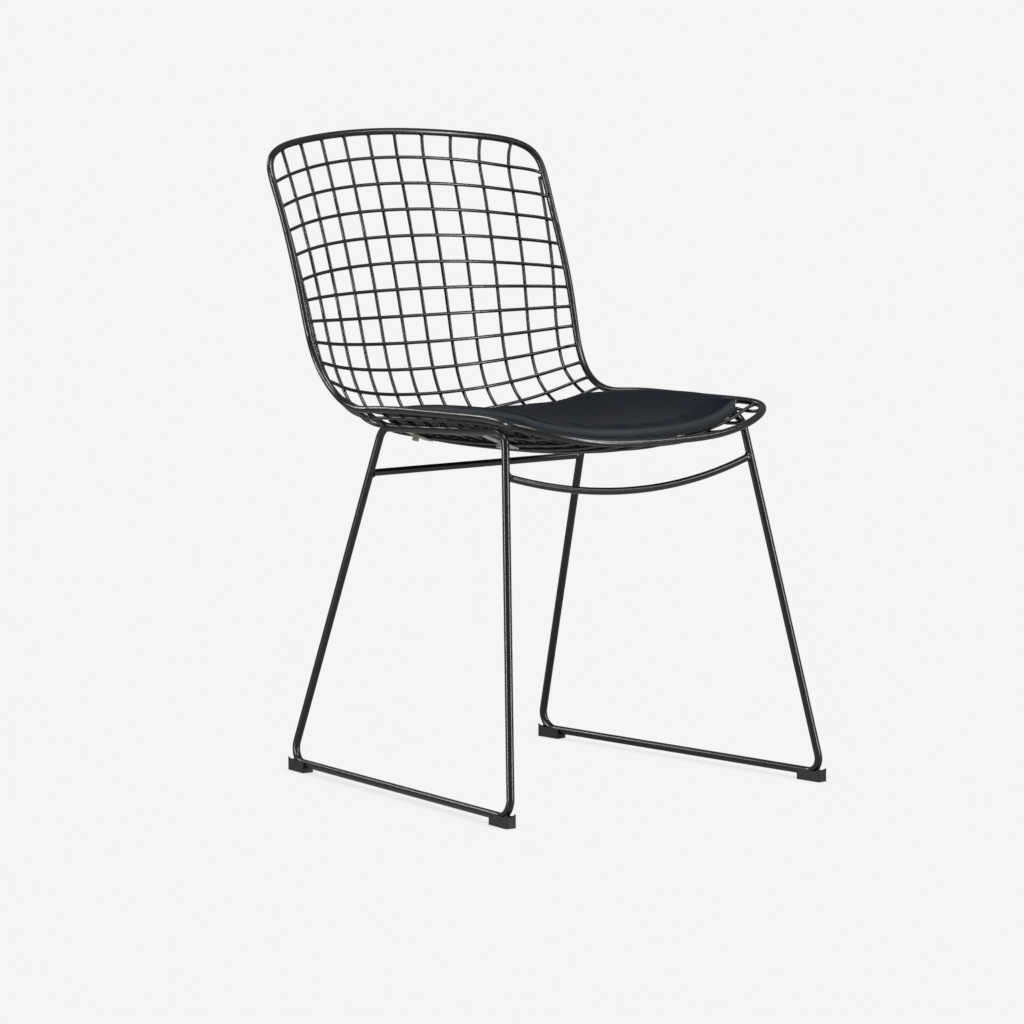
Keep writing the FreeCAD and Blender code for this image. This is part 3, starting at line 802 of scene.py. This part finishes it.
def seen_directly(tree):
    """1 for the camera and through clear things, MIRRORED in reflections and 0 for light.

    The gloss on the rods and the pad mirrors a dim room, so reflections get only a share.
    """
    path = tree.nodes.new("ShaderNodeLightPath")
    through = tree.nodes.new("ShaderNodeMath")
    through.operation = "MAXIMUM"
    tree.links.new(path.outputs["Is Camera Ray"], through.inputs[0])
    tree.links.new(path.outputs["Is Transmission Ray"], through.inputs[1])
    dimmed = tree.nodes.new("ShaderNodeMath")
    dimmed.operation = "MULTIPLY"
    tree.links.new(path.outputs["Is Glossy Ray"], dimmed.inputs[0])
    dimmed.inputs[1].default_value = MIRRORED
    total = tree.nodes.new("ShaderNodeMath")
    total.operation = "MAXIMUM"
    tree.links.new(through.outputs["Value"], total.inputs[0])
    tree.links.new(dimmed.outputs["Value"], total.inputs[1])
    return total.outputs["Value"]


def stage_material():
    """Seen directly it is the pale backdrop with a faint painted shadow, darkened by ambient
    occlusion near the chair; to the object it is a floor.
    """
    made = bpy.data.materials.new("stage_floor")
    made.use_nodes = True
    tree = made.node_tree
    tree.nodes.clear()
    out = tree.nodes.new("ShaderNodeOutputMaterial")
    contact = tree.nodes.new("ShaderNodeAmbientOcclusion")
    contact.samples = 8
    contact.inputs["Distance"].default_value = CONTACT_REACH
    # Painted shadow: the emitted backdrop colour darkens towards CONTACT_SHADE where ambient
    # occlusion finds the chair close by.
    shade = ramp(tree, contact.outputs["AO"], [(0.0, CONTACT_SHADE), (0.9, BACKDROP)])
    flat = tree.nodes.new("ShaderNodeEmission")
    tree.links.new(shade, flat.inputs["Color"])
    floor = tree.nodes.new("ShaderNodeBsdfDiffuse")
    floor.inputs["Color"].default_value = (FLOOR_GREY, FLOOR_GREY, FLOOR_GREY, 1.0)
    seen = tree.nodes.new("ShaderNodeMixShader")
    tree.links.new(seen_directly(tree), seen.inputs["Fac"])
    tree.links.new(floor.outputs["BSDF"], seen.inputs[1])
    tree.links.new(flat.outputs["Emission"], seen.inputs[2])
    tree.links.new(seen.outputs["Shader"], out.inputs["Surface"])
    return made


def make_floor():
    """Flat disc that reaches to the horizon."""
    bm = bmesh.new()
    bmesh.ops.create_circle(bm, cap_ends=True, radius=FLOOR_RADIUS, segments=96)
    data = bpy.data.meshes.new("stage_floor")
    bm.to_mesh(data)
    bm.free()
    floor = bpy.data.objects.new("stage_floor", data)
    data.materials.append(stage_material())
    scene.collection.objects.link(floor)


def make_world():
    """Dim room light on the object, in front of the same pale backdrop as the floor."""
    world = bpy.data.worlds.new("studio")
    scene.world = world
    world.use_nodes = True
    tree = world.node_tree
    tree.nodes.clear()
    out = tree.nodes.new("ShaderNodeOutputWorld")
    room = tree.nodes.new("ShaderNodeBackground")
    room.inputs["Color"].default_value = (0.92, 0.95, 1.0, 1.0)
    room.inputs["Strength"].default_value = ROOM_STRENGTH
    backdrop = tree.nodes.new("ShaderNodeBackground")
    backdrop.inputs["Color"].default_value = (BACKDROP, BACKDROP, BACKDROP, 1.0)
    backdrop.inputs["Strength"].default_value = 1.0
    choose = tree.nodes.new("ShaderNodeMixShader")
    tree.links.new(seen_directly(tree), choose.inputs["Fac"])
    tree.links.new(room.outputs["Background"], choose.inputs[1])
    tree.links.new(backdrop.outputs["Background"], choose.inputs[2])
    tree.links.new(choose.outputs["Shader"], out.inputs["Surface"])


def soft_box(name, place, target, width, height, watts):
    """Rectangular lamp that faces its target."""
    lamp = bpy.data.lights.new(name, "AREA")
    lamp.shape = "RECTANGLE"
    lamp.size = width
    lamp.size_y = height
    lamp.energy = watts
    holder = bpy.data.objects.new(name, lamp)
    scene.collection.objects.link(holder)
    holder.location = place
    aim = Vector(target) - Vector(place)
    holder.rotation_euler = aim.to_track_quat("-Z", "Y").to_euler()


make_floor()
make_world()
SEAT = (0.0, 0.0, 0.45)
soft_box("left_strip", (-2.76, 0.45, 1.0), SEAT, 0.34, 2.0, 52)
soft_box("right_strip", (1.0, -2.6, 1.0), SEAT, 0.34, 2.0, 52)
soft_box("key_softbox", (1.9, -1.9, 2.3), SEAT, 1.3, 0.8, 22)
soft_box("top_softbox", (-0.5, -1.0, 2.8), SEAT, 1.4, 1.0, 42)
soft_box("back_softbox", (-1.2, 2.6, 2.1), SEAT, 1.6, 0.7, 28)

CAMERA_PLACE = (-3.6290, -4.4319, 1.0029)
CAMERA_AZIMUTH = math.radians(39.2)
CAMERA_DIP = 0.115968
LENS = 159.68
SENSOR = 36.0
FAR_CLIP = 200.0


def make_camera():
    """The photograph's view."""
    data = bpy.data.cameras.new("camera")
    data.lens = LENS
    data.sensor_width = SENSOR
    data.clip_end = FAR_CLIP
    camera = bpy.data.objects.new("camera", data)
    scene.collection.objects.link(camera)
    camera.location = CAMERA_PLACE
    camera.rotation_euler = (math.pi / 2 - CAMERA_DIP, 0.0, -CAMERA_AZIMUTH)
    scene.camera = camera


make_camera()
scene.view_settings.view_transform = "Standard"
